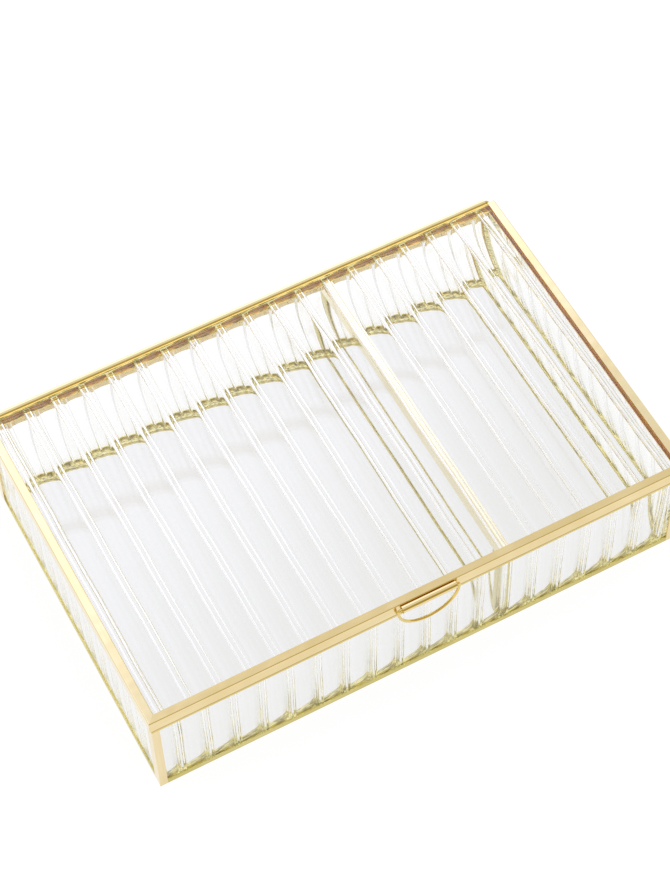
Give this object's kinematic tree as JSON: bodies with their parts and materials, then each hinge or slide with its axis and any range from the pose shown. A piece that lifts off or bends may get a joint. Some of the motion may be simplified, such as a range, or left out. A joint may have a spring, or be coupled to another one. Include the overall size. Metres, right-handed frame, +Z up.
{
  "type": "glass casket box",
  "caption": "Low rectangular box of clear fluted glass panes edged in polished brass strip, with a hinged glass lid, an off-centre glass divider and a half-round wire pull.",
  "frame": {"origin": "on the surface the box stands on, under the middle of its outline (the pull tube stands as far out in front as the hinge tube does behind)", "axes": "+X along the front to the right, +Y to the back where the hinge is, +Z up"},
  "size_m": [0.25, 0.1676, 0.0585],
  "materials": {
    "brass": "polished",
    "fluted_glass": "clear, fluted on the inner face",
    "plain_glass": "clear, flat"
  },
  "bodies": {
    "box": {"floor_glass": "plain_glass", "front_glass": "fluted_glass", "back_glass": "fluted_glass", "left_glass": "fluted_glass", "right_glass": "fluted_glass", "bottom_front_strip": "brass", "bottom_back_strip": "brass", "bottom_left_strip": "brass", "bottom_right_strip": "brass", "post_front_left": "brass", "post_front_right": "brass", "post_back_left": "brass", "post_back_right": "brass", "rim_front_strip": "brass", "rim_back_strip": "brass", "rim_left_strip": "brass", "rim_right_strip": "brass", "divider_glass": "plain_glass", "divider_cap": "brass", "divider_base_channel": "brass", "divider_front_channel": "brass", "divider_back_channel": "brass", "hinge_pin_left": "brass", "hinge_pin_right": "brass"},
    "lid": {"lid_glass": "fluted_glass", "lid_front_strip": "brass", "lid_left_strip": "brass", "lid_right_strip": "brass", "lid_back_strip": "brass", "hinge_tube": "brass", "pull_tube": "brass"},
    "pull": {"pull_ring": "brass"}
  },
  "joints": [
    {"name": "lid_hinge", "type": "hinge", "parent": "box", "child": "lid", "pos_m": [0, 0.0822, 0.0569], "axis": [-1, 0, 0], "range_deg": [0, 180]},
    {"name": "pull_swing", "type": "hinge", "parent": "lid", "child": "pull", "pos_m": [0, -0.0822, 0.0568], "axis": [-1, 0, 0], "range_deg": [-5, 195]}
  ]
}
